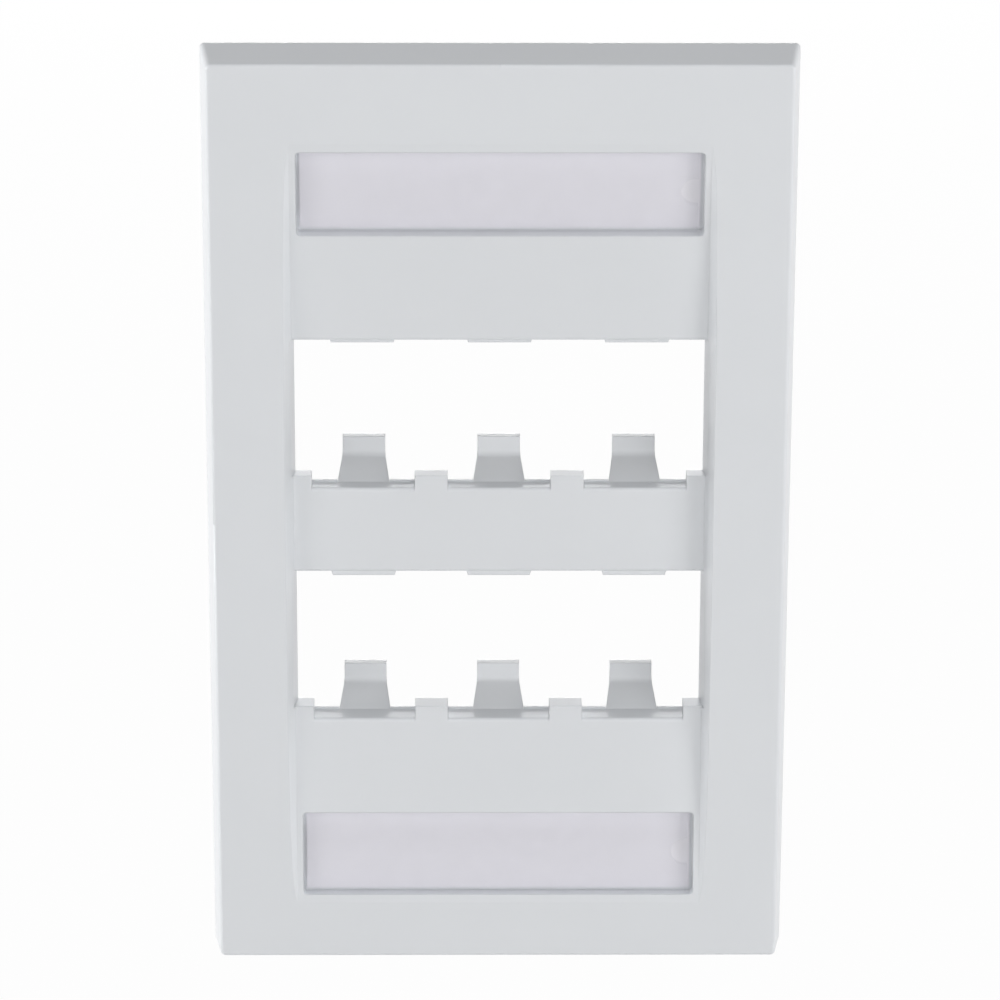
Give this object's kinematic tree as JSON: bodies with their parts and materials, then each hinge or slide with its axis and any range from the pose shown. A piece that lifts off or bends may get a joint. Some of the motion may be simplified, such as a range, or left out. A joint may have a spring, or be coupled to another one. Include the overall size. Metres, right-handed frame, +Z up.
{
  "type": "keystone faceplate",
  "caption": "White wall faceplate with a scooped face, two rows of keystone module bays with latch fingers, and a label pocket under a clear cover at each end.",
  "frame": {"origin": "centre of the plate on the wall plane, midway between the two box screw holes", "axes": "+X to the right seen from the front, +Y into the wall, +Z up along the plate's long side"},
  "size_m": [0.0698, 0.0111, 0.1142],
  "materials": {
    "moulding": "satin white moulded plastic",
    "label": "matt paper",
    "cover": "clear polished plastic"
  },
  "bodies": {
    "plate": {"faceplate": "moulding", "label_top": "label", "label_bottom": "label"},
    "top_cover": {"cover_top": "cover"},
    "bottom_cover": {"cover_bottom": "cover"}
  },
  "joints": [
    {"name": "top_cover_tilt", "type": "hinge", "parent": "plate", "child": "top_cover", "pos_m": [-0.02357, -0.00518, 0.04061], "axis": [0, 0.109, -0.994], "range_deg": [0, 25]},
    {"name": "bottom_cover_tilt", "type": "hinge", "parent": "plate", "child": "bottom_cover", "pos_m": [-0.02357, -0.00518, -0.04296], "axis": [0, -0.109, -0.994], "range_deg": [0, 25]}
  ]
}
